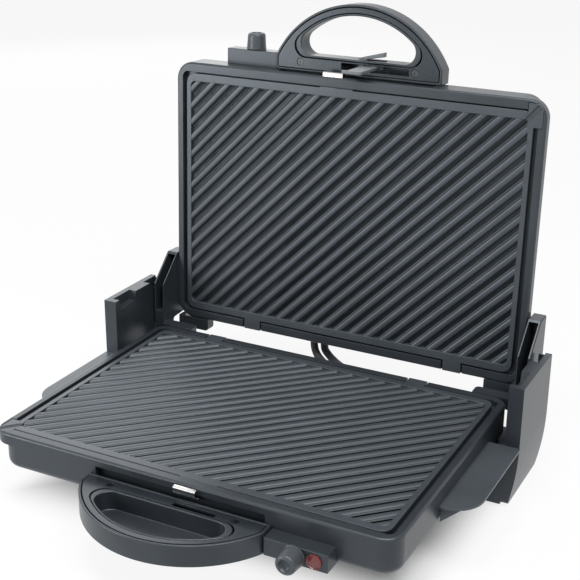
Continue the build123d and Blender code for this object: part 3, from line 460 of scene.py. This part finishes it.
def baked_coating(name, half):
    """Sprayed and baked coating: satin blue-grey with fine flecks, and painted shade darkening it
    in the grooves.
    """
    material, shader, place = new_finish(name, 0.38, specular=0.6)
    normal = seats[half].to_3x3().col[2]
    crest = normal.dot(seats[half].translation) + plate_top - field_depth + rib_height
    height = material.node_tree.nodes.new("ShaderNodeVectorMath")
    height.operation = "DOT_PRODUCT"
    height.inputs[1].default_value = normal
    connect(material, place, "Object", height, 0)
    # Painted shade: the colour is scaled down from full at the rib crests to a quarter at the
    # groove floors.
    depth = material.node_tree.nodes.new("ShaderNodeMapRange")
    depth.inputs["From Min"].default_value = crest - rib_height
    depth.inputs["From Max"].default_value = crest
    depth.inputs["To Min"].default_value = groove_painted_shade
    connect(material, height, "Value", depth, "Value")
    cloud = noise(material, place, coat_cloud)
    flecks = noise(material, place, fleck_size, detail=1.0)
    tone = ramp(material, cloud, coat_deep, coat_pale)
    fleck = ramp(material, flecks, fleck_shade, (1, 1, 1, 1), *fleck_ends)
    mix = material.node_tree.nodes.new("ShaderNodeMix")
    mix.data_type = "RGBA"
    mix.blend_type = "MULTIPLY"
    mix.inputs["Factor"].default_value = 1
    connect(material, tone, "Color", mix, "A")
    connect(material, fleck, "Color", mix, "B")
    colour_with_painted_shade = material.node_tree.nodes.new("ShaderNodeVectorMath")
    colour_with_painted_shade.operation = "SCALE"
    connect(material, mix, "Result", colour_with_painted_shade, 0)
    connect(material, depth, "Result", colour_with_painted_shade, "Scale")
    connect(material, colour_with_painted_shade, "Vector", shader, "Base Color")
    gloss = spread(material, flecks, *coat_roughness)
    connect(material, gloss, "Result", shader, "Roughness")
    peel = noise(material, place, peel_size, detail=2.0)
    raise_grain(material, shader, peel, peel_depth)
    return material


casting = plate_casting()
ribs = rib_field()
lower_plate = join(casting, ribs)
lower_plate.name = "base_ribbed_plate"
upper_plate = lower_plate.copy()
upper_plate.data = lower_plate.data.copy()
upper_plate.name = "lid_ribbed_plate"
bpy.context.scene.collection.objects.link(upper_plate)
for half, plate in (("base", lower_plate), ("lid", upper_plate)):
    seat(plate, half)
    coat = baked_coating(f"{half}_coating", half)
    stand_for(plate, f"{half}_grill_plate", half, coat)

# Handles
# A hollow D-shaped shell grows from each tub's front wall, and a flat cover is let into its face
# and screwed down. The covers have a smoother moulded face than the shells.
cover_deep = (0.017, 0.021, 0.026, 1)
cover_pale = (0.023, 0.028, 0.034, 1)
cover_edge = 0.4 * mm
shell_edge = 1.0 * mm
cover_plastic = grained_plastic(
    "cover_plastic",
    cover_deep,
    cover_pale,
    roughness=0.27,
    grain_size=0.8 * mm,
    grain_depth=0.01 * mm,
)
for half in halves:
    shell = eased(f"{half}_handle_shell", shell_edge, 3)
    stand_for(shell, f"{half}_handle_shell", half, body_plastic)
    cover = eased(f"{half}_handle_cover", cover_edge)
    stand_for(cover, f"{half}_handle_cover", half, cover_plastic)

# Screws
# Plated steel screws hold each handle's cover, with their cross heads a little below its face, and
# others hold the pillars' flanges to the floor of the lower tub.
metal_swing = 0.07
metal_relief = 0.01 * mm
screw_grey = (0.07, 0.075, 0.08, 1)


def steel(name, colour, roughness, grain_size):
    """Metal with the fine uneven gloss of a plated or drawn surface."""
    material, shader, place = new_finish(name, roughness, metallic=1.0)
    shader.inputs["Base Color"].default_value = colour
    grain = noise(material, place, grain_size)
    gloss = spread(material, grain, roughness - metal_swing, roughness + metal_swing)
    connect(material, gloss, "Result", shader, "Roughness")
    raise_grain(material, shader, grain, metal_relief)
    return material


def refinish(material, *nodes):
    """Nodes whose shape is right keep it and get their real finish."""
    for node in nodes:
        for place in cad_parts[node].material_slots:
            place.material = material


screw_steel = steel("screw_steel", screw_grey, roughness=0.36, grain_size=1.2 * mm)
refinish(screw_steel, "base_handle_screws", "lid_handle_screws", "pillar_screws")

# Control boxes and knobs
# A small moulded box stands on the front wall beside each handle. The thermostat's spindle comes
# through it, and a tapered knob with a dished end is pressed on the spindle's flat.
box_front = tub_length + 15.5 * mm
knob_across = 116 * mm
knob_drop = 25.7 * mm
knob_foot = 19.6 * mm
knob_tip = 17.6 * mm
knob_length = 16 * mm
knob_gap = 0.6 * mm
knob_dish = 11.0 * mm
dish_slope = 1.2 * mm
dish_depth = 2.6 * mm
dish_step = 1.6 * mm
dish_well = 0.8 * mm
knob_end_round = 2.6 * mm
bead_height = 1.6 * mm
bead_bevel = 0.3 * mm
bead_rise = 0.35 * mm
box_edge = 0.3 * mm
knob_deep = (0.040, 0.045, 0.051, 1)
knob_pale = (0.052, 0.058, 0.065, 1)
knob_plastic = grained_plastic(
    "knob_plastic", knob_deep, knob_pale, roughness=0.40, grain_size=0.6 * mm, grain_depth=0.02 * mm
)


def turned_knob():
    """A round knob that stands along v: a foot bead, a taper, a rounded end and a dish."""
    bpy.ops.object.select_all(action="DESELECT")
    middle = Vector((-knob_across, box_front + knob_gap + knob_length / 2, -knob_drop))
    bpy.ops.mesh.primitive_cylinder_add(
        vertices=64,
        radius=knob_foot / 2,
        depth=knob_length,
        location=middle,
        rotation=(-math.pi / 2, 0, 0),
    )
    knob = bpy.context.active_object
    bpy.ops.object.transform_apply(location=True, rotation=True, scale=True)
    foot = middle.y - knob_length / 2
    end = middle.y + knob_length / 2
    end_centre = Vector((middle.x, end, middle.z))
    pick(knob, "polygons", lambda f: f.normal.y > 0.9)
    shrink = knob_tip / knob_foot
    bpy.ops.transform.resize(value=(shrink, shrink, shrink), center_override=end_centre)
    bpy.ops.mesh.inset(thickness=(knob_tip - knob_dish) / 2)
    bpy.ops.mesh.inset(thickness=dish_slope)
    bpy.ops.transform.translate(value=(0, -dish_depth, 0))
    bpy.ops.mesh.inset(thickness=dish_step)
    bpy.ops.transform.translate(value=(0, -dish_well, 0))
    stop_editing()

    def on_rim(ends):
        """An edge of the round outer end."""
        near = 0.1 * mm
        on_circle = all(abs((p - end_centre).length - knob_tip / 2) < near for p in ends)
        return on_circle and all(p.y > end - near for p in ends)

    def on_side(face):
        """A face of the tapered side."""
        return abs(face.normal.y) < 0.3

    pick(knob, "edges", on_rim)
    bpy.ops.mesh.bevel(offset=knob_end_round, segments=6)
    stop_editing()
    pick(knob, "polygons", on_side)
    bpy.ops.mesh.bisect(plane_co=(0, foot + bead_height, 0), plane_no=(0, 1, 0))
    stop_editing()
    pick(knob, "polygons", lambda f: on_side(f) and f.center.y < foot + bead_height)
    bpy.ops.mesh.inset(thickness=bead_bevel, depth=bead_rise)
    stop_editing()
    bpy.ops.object.shade_smooth_by_angle(angle=math.radians(42))
    return knob


for half in halves:
    control_box = eased(f"{half}_control_box", box_edge)
    stand_for(control_box, f"{half}_control_box", half, body_plastic)
    knob = turned_knob()
    knob.name = f"{half}_round_knob"
    seat(knob, half)
    stand_for(knob, f"{half}_knob", f"{half}_knob", knob_plastic)

# Pilot lamp
# A clear red lens with a stepped rim snaps into the lower box's face, with a neon bulb behind it.
lamp_across = 133.6 * mm
lamp_width = 13 * mm
lamp_rise = 1.4 * mm
lamp_sunk = 0.4 * mm
lens_rim = 0.5 * mm
lens_bevel = 0.4 * mm
lens_drop = 0.6 * mm
lens_ledge = 0.2 * mm
dome_rings = 5
dome_ring = 0.8 * mm
dome_first_rise = 0.22
dome_rise_less = 0.04
lamp_deep = (0.17, 0.020, 0.020, 1)
lamp_pale = (0.26, 0.045, 0.043, 1)
bulb_deep = (0.8, 0.72, 0.66, 1)
bulb_pale = (0.9, 0.86, 0.82, 1)
bpy.ops.object.select_all(action="DESELECT")
bpy.ops.mesh.primitive_cylinder_add(
    vertices=64,
    radius=lamp_width / 2,
    depth=lamp_rise + lamp_sunk,
    location=(-lamp_across, box_front + lamp_rise / 2 - lamp_sunk / 2, -knob_drop),
    rotation=(-math.pi / 2, 0, 0),
)
lens = bpy.context.active_object
lens.name = "pilot_lens"
bpy.ops.object.transform_apply(location=True, rotation=True, scale=True)
pick(lens, "polygons", lambda f: f.normal.y > 0.9)
bpy.ops.mesh.inset(thickness=lens_rim)
bpy.ops.mesh.inset(thickness=lens_bevel)
bpy.ops.transform.translate(value=(0, -lens_drop, 0))
bpy.ops.mesh.inset(thickness=lens_ledge)
for ring in range(dome_rings):
    bpy.ops.mesh.inset(thickness=dome_ring)
    bpy.ops.transform.translate(value=(0, (dome_first_rise - dome_rise_less * ring) * mm, 0))
stop_editing()
bpy.ops.object.shade_smooth_by_angle(angle=sharp_from)
seat(lens, "base")
lamp_red, lamp_shader, lamp_place = new_finish("lamp_red", 0.28)
lamp_shader.inputs["Transmission Weight"].default_value = 0.25
lamp_shader.inputs["Coat Weight"].default_value = 0.3
lamp_cloud = noise(lamp_red, lamp_place, 3 * mm)
lamp_tone = ramp(lamp_red, lamp_cloud, lamp_deep, lamp_pale)
connect(lamp_red, lamp_tone, "Color", lamp_shader, "Base Color")
raise_grain(lamp_red, lamp_shader, lamp_cloud, 0.05 * mm)
stand_for(lens, "base_lamp_lens", "base", lamp_red)
bulb_glass, bulb_shader, bulb_place = new_finish("bulb_glass", 0.12)
bulb_shader.inputs["Transmission Weight"].default_value = 0.8
bulb_cloud = noise(bulb_glass, bulb_place, 4 * mm)
bulb_tone = ramp(bulb_glass, bulb_cloud, bulb_deep, bulb_pale)
connect(bulb_glass, bulb_tone, "Color", bulb_shader, "Base Color")
refinish(bulb_glass, "base_lamp_bulb")

# Plate clips
# A bent strip of bright spring steel bows out of the trough at the rim. Its inner end reaches
# through the rim into the plate's edge, and pulling the bow outwards frees the plate.
clip_edge = 0.12 * mm
clip_bright = (0.78, 0.77, 0.76, 1)
clip_chrome = steel("clip_chrome", clip_bright, roughness=0.16, grain_size=0.9 * mm)
for half in halves:
    clip = eased(f"{half}_plate_clip", clip_edge)
    stand_for(clip, f"{half}_plate_clip", f"{half}_clip", clip_chrome)

# Latch
# A grey moulded slider in the lid's handle: its hook comes out through the cover, and its lever
# stands in the finger hole.
latch_edge = 0.5 * mm
latch_deep = (0.11, 0.12, 0.125, 1)
latch_pale = (0.14, 0.15, 0.155, 1)
latch_grey = grained_plastic(
    "latch_grey", latch_deep, latch_pale, roughness=0.42, grain_size=0.7 * mm, grain_depth=0.02 * mm
)
latch = eased("lid_latch", latch_edge, 3, clamp=True)
stand_for(latch, "lid_latch", "latch", latch_grey)

# Hinge
# Channel-section arms on the lid carry steel pins, whose blocks slide in the slots of the pillars,
# so the lid can rise on thick food. Pillars are grained like the tubs; the thin wings are paler,
# as painted light on their tops.
pillar_edge = 0.7 * mm
wing_edge = 0.5 * mm
arm_edge = 0.5 * mm
# Painted light: the wings get a paler tone than the tubs, standing in for the light that falls on
# their tops.
wing_painted_light_deep = (0.048, 0.055, 0.063, 1)
wing_painted_light_pale = (0.062, 0.071, 0.081, 1)
wing_roughness = 0.36
pin_grey = (0.42, 0.42, 0.42, 1)
nylon_deep = (0.42, 0.41, 0.38, 1)
nylon_pale = (0.50, 0.49, 0.46, 1)
wing_painted_light_plastic = grained_plastic(
    "wing_painted_light_plastic", wing_painted_light_deep, wing_painted_light_pale, wing_roughness, body_grain, body_relief
)
for side in ("left", "right"):
    for node, body, radius, plastic in (
        (f"{side}_pillar", "base", pillar_edge, body_plastic),
        (f"{side}_side_wing", "base", wing_edge, wing_painted_light_plastic),
        (f"{side}_lid_arm", "lid", arm_edge, body_plastic),
    ):
        piece = eased(node, radius, 3, clamp=True)
        stand_for(piece, node, body, plastic)
    cover = eased(f"{side}_pillar_cover", cover_edge, clamp=True)
    stand_for(cover, f"{side}_pillar_cover", "base", cover_plastic)
pin_steel = steel("pin_steel", pin_grey, roughness=0.3, grain_size=1.5 * mm)
refinish(pin_steel, "left_hinge_pin", "right_hinge_pin", "base_spindle", "lid_spindle")
block_nylon = grained_plastic(
    "block_nylon", nylon_deep, nylon_pale, roughness=0.5, grain_size=0.5 * mm, grain_depth=0.01 * mm
)
refinish(block_nylon, "left_slide_block", "right_slide_block")

# Legs and feet
# Two tapered legs under the front and the pillars' feet stand on moulded rubber pads. Four taller
# rubber feet on the lid's back carry it when it lies opened flat.
leg_edge = 0.8 * mm
pad_edge = 0.4 * mm
pad_deep = (0.016, 0.016, 0.017, 1)
pad_pale = (0.024, 0.024, 0.025, 1)
legs = eased("front_legs", leg_edge, 3)
stand_for(legs, "front_legs", "base", body_plastic)
pad_rubber = grained_plastic(
    "pad_rubber", pad_deep, pad_pale, roughness=0.75, grain_size=0.4 * mm, grain_depth=0.04 * mm
)
for node, body in (("front_leg_pads", "base"), ("pillar_pads", "base")):
    pads = eased(node, pad_edge, 3)
    stand_for(pads, node, body, pad_rubber)
refinish(pad_rubber, "lid_back_feet")

# Link cables
# Two sleeved cables carry the current to the lid. They leave a gland under the lid's hinge edge,
# sag across the gap and go into a gland in the lower tub. Each is in two lengths that meet midway.
cable_width = 8 * mm
cable_pitch = 12 * mm
lid_exit = Vector((-30, 180.69, 73.57)) * mm
base_exit = Vector((21, 133.4985, 63)) * mm
lid_up = Vector((0, math.sin(lean), math.cos(lean))) * mm
straight_run = 7
across_tub = Vector((1, 0, 0))
across_sag = Vector((0.6, 0.8, 0))
sagging = range(2, 6)
cable_points = [
    lid_exit,
    lid_exit - lid_up * straight_run,
    hinge_edge + Vector((-25.5, 48.5, -19.2)) * mm,
    hinge_edge + Vector((-15.0, 41.5, -22.6)) * mm,
    hinge_edge + Vector((0.0, 31.0, -23.4)) * mm,
    hinge_edge + Vector((15.5, 19.0, -20.0)) * mm,
    base_exit + Vector((0, straight_run, 0)) * mm,
    base_exit,
]
sleeve_deep = (0.020, 0.021, 0.023, 1)
sleeve_pale = (0.030, 0.031, 0.033, 1)
sleeve_rubber = grained_plastic(
    "sleeve_rubber",
    sleeve_deep,
    sleeve_pale,
    roughness=0.6,
    grain_size=0.5 * mm,
    grain_depth=0.03 * mm,
)


def smooth_line(points):
    """Points along the smooth curve that these control points give."""
    curve = bpy.data.curves.new("line", "CURVE")
    curve.dimensions = "3D"
    curve.resolution_u = 24
    spline = curve.splines.new("NURBS")
    spline.points.add(len(points) - 1)
    for knot, place in zip(spline.points, points):
        knot.co = (*place, 1)
    spline.order_u = 3
    spline.use_endpoint_u = True
    holder = bpy.data.objects.new("line", curve)
    bpy.context.scene.collection.objects.link(holder)
    mesh = bpy.data.meshes.new_from_object(holder)
    line = [v.co.copy() for v in mesh.vertices]
    bpy.data.objects.remove(holder, do_unlink=True)
    return line


def sleeve(name, line):
    """A round sleeve along a line, as a mesh with closed ends."""
    curve = bpy.data.curves.new(name, "CURVE")
    curve.dimensions = "3D"
    curve.bevel_depth = cable_width / 2
    curve.bevel_resolution = 6
    curve.use_fill_caps = True
    spline = curve.splines.new("POLY")
    spline.points.add(len(line) - 1)
    for knot, place in zip(spline.points, line):
        knot.co = (*place, 1)
    tube = bpy.data.objects.new(name, curve)
    bpy.context.scene.collection.objects.link(tube)
    bpy.ops.object.select_all(action="DESELECT")
    tube.select_set(True)
    bpy.context.view_layer.objects.active = tube
    bpy.ops.object.convert(target="MESH")
    bpy.ops.object.shade_smooth_by_angle(angle=math.radians(50))
    return tube


for label, shift in (("first", -cable_pitch / 2), ("second", cable_pitch / 2)):
    control = []
    for n, point in enumerate(cable_points):
        sideways = across_sag if n in sagging else across_tub
        control.append(point + sideways * shift)
    line = smooth_line(control)
    half_way = len(line) // 2
    upper_line = line[: half_way + 1]
    lower_line = line[: half_way - 1 : -1]
    upper = sleeve(f"{label}_cable_upper", upper_line)
    lower = sleeve(f"{label}_cable_lower", lower_line)
    for piece in (upper, lower):
        paint(piece, sleeve_rubber)
        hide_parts("link_cables")
    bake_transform(upper)
    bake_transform(lower)

# Glands and inlet
# Moulded glands grip the link cables where they enter the tubs, and a flanged collar stands at the
# mains lead's place.
gland_edge = 0.4 * mm
glands = {"base_cable_gland": "base", "lid_cable_gland": "lid", "cord_gland": "base"}
for node, body in glands.items():
    gland = eased(node, gland_edge, 3)
    stand_for(gland, node, body, cover_plastic)

# Works inside the tubs
# Bent tube heaters lie under the plates over pressed reflectors, with the thermostats at the front
# walls and a terminal block at the back of the lower tub.
heater_brown = (0.24, 0.22, 0.20, 1)
reflector_grey = (0.62, 0.62, 0.60, 1)
resin_deep = (0.10, 0.085, 0.07, 1)
resin_pale = (0.14, 0.12, 0.10, 1)
heater_steel = steel("heater_steel", heater_brown, roughness=0.42, grain_size=2.5 * mm)
refinish(heater_steel, "base_heating_element", "lid_heating_element")
reflector_steel = steel("reflector_steel", reflector_grey, roughness=0.34, grain_size=3 * mm)
refinish(reflector_steel, "base_reflector", "lid_reflector")
thermostat_body = grained_plastic(
    "thermostat_body",
    resin_deep,
    resin_pale,
    roughness=0.6,
    grain_size=0.4 * mm,
    grain_depth=0.02 * mm,
)
refinish(thermostat_body, "base_thermostat", "lid_thermostat", "terminal_block")

# Floor, light and camera
# A white floor in a white room, with four soft lamps: overhead, over the right shoulder, low at the
# front left and behind. The camera has the photograph's place and angle.
floor_size = 12
floor_white = (0.9, 0.9, 0.9, 1)
open_white = 0.9
room_strength = 0.2
under_half_width = 150 * mm
under_half_length = 95 * mm
under_middle = 30 * mm
under_fade = 70 * mm
camera_place = Vector((475.76, -879.87, 586.07)) * mm
camera_yaw = math.radians(27.04)
camera_tilt = math.radians(90 - 21.18)
camera_roll = math.radians(0.565)
camera_data = bpy.data.cameras.new("camera")
camera_data.lens = 75.05
camera_data.sensor_width = 36
camera = bpy.data.objects.new("camera", camera_data)
turn = Matrix.Rotation(camera_yaw, 4, "Z") @ Matrix.Rotation(camera_tilt, 4, "X")
turn = turn @ Matrix.Rotation(camera_roll, 4, "Z")
camera.matrix_world = Matrix.Translation(camera_place) @ turn
bpy.context.scene.collection.objects.link(camera)
bpy.context.scene.camera = camera
bpy.context.scene.view_settings.view_transform = "Standard"


def figure(tree, what, first, second):
    """One sum of a node's output and a number or another output."""
    sum_node = tree.nodes.new("ShaderNodeMath")
    sum_node.operation = what
    tree.links.new(first, sum_node.inputs[0])
    if isinstance(second, (int, float)):
        sum_node.inputs[1].default_value = second
    else:
        tree.links.new(second, sum_node.inputs[1])
    return sum_node.outputs["Value"]


def open_floor(tree):
    """The floor's white share: none under the grill, whose shadow stays, and full in the open."""
    place = tree.nodes.new("ShaderNodeTexCoord")
    parts = tree.nodes.new("ShaderNodeSeparateXYZ")
    tree.links.new(place.outputs["Object"], parts.inputs["Vector"])
    outside = []
    for axis, middle, half_size in (
        ("X", 0, under_half_width),
        ("Y", under_middle, under_half_length),
    ):
        offset = figure(tree, "SUBTRACT", parts.outputs[axis], middle)
        distance = figure(tree, "ABSOLUTE", offset, 0)
        outside.append(figure(tree, "SUBTRACT", distance, half_size))
    farther = figure(tree, "MAXIMUM", *outside)
    fade = tree.nodes.new("ShaderNodeMapRange")
    fade.interpolation_type = "SMOOTHSTEP"
    fade.inputs["From Max"].default_value = under_fade
    fade.inputs["To Max"].default_value = open_white
    tree.links.new(farther, fade.inputs["Value"])
    return fade.outputs["Result"]


def white_to_the_eye(tree, shaded, share=1):
    """Mix a shader with plain white for what the camera and reflections see."""
    rays = tree.nodes.new("ShaderNodeLightPath").outputs
    seen = figure(tree, "MAXIMUM", rays["Is Camera Ray"], rays["Is Glossy Ray"])
    seen = figure(tree, "MAXIMUM", seen, rays["Is Transmission Ray"])
    part = figure(tree, "MULTIPLY", seen, share)
    in_world = shaded.type == "BACKGROUND"
    white = tree.nodes.new("ShaderNodeBackground" if in_world else "ShaderNodeEmission")
    white.inputs["Color"].default_value = (1, 1, 1, 1)
    white.inputs["Strength"].default_value = 1
    mix = tree.nodes.new("ShaderNodeMixShader")
    tree.links.new(part, mix.inputs[0])
    tree.links.new(shaded.outputs[0], mix.inputs[1])
    tree.links.new(white.outputs[0], mix.inputs[2])
    return mix.outputs[0]


world = bpy.data.worlds.new("studio")
bpy.context.scene.world = world
world.use_nodes = True
room = world.node_tree.nodes["Background"]
room.inputs["Color"].default_value = (1, 1, 1, 1)
room.inputs["Strength"].default_value = room_strength
white_room = white_to_the_eye(world.node_tree, room)
world_output = world.node_tree.nodes["World Output"]
world.node_tree.links.new(white_room, world_output.inputs["Surface"])

bpy.ops.object.select_all(action="DESELECT")
bpy.ops.mesh.primitive_plane_add(size=floor_size, location=(0, 0, 0))
floor = bpy.context.active_object
floor.name = "floor"
floor_paint = bpy.data.materials.new("floor_paint")
floor_paint.use_nodes = True
floor_tree = floor_paint.node_tree
floor_shader = floor_tree.nodes["Principled BSDF"]
floor_shader.inputs["Base Color"].default_value = floor_white
floor_shader.inputs["Roughness"].default_value = 0.8
white_floor = white_to_the_eye(floor_tree, floor_shader, open_floor(floor_tree))
floor_output = floor_tree.nodes["Material Output"]
floor_tree.links.new(white_floor, floor_output.inputs["Surface"])
paint(floor, floor_paint)


def soft_lamp(name, place, aim, size, power):
    """A square soft box that faces a point on the grill."""
    light = bpy.data.lights.new(name, "AREA")
    light.size = size
    light.energy = power
    lamp = bpy.data.objects.new(name, light)
    lamp.location = place
    lamp.rotation_euler = (Vector(aim) - Vector(place)).to_track_quat("-Z", "Y").to_euler()
    bpy.context.scene.collection.objects.link(lamp)


grill_middle = (0, 0, 0.1)
lid_middle = (0, 0, 0.15)
soft_lamp("overhead_lamp", (0.0, -0.5, 2.0), grill_middle, size=0.6, power=19)
soft_lamp("shoulder_lamp", (0.9, -0.6, 1.6), grill_middle, size=0.8, power=19)
soft_lamp("front_lamp", (-1.0, -1.0, 0.38), lid_middle, size=0.7, power=11)
soft_lamp("rear_lamp", (-1.5, 1.6, 1.0), grill_middle, size=1.7, power=12)
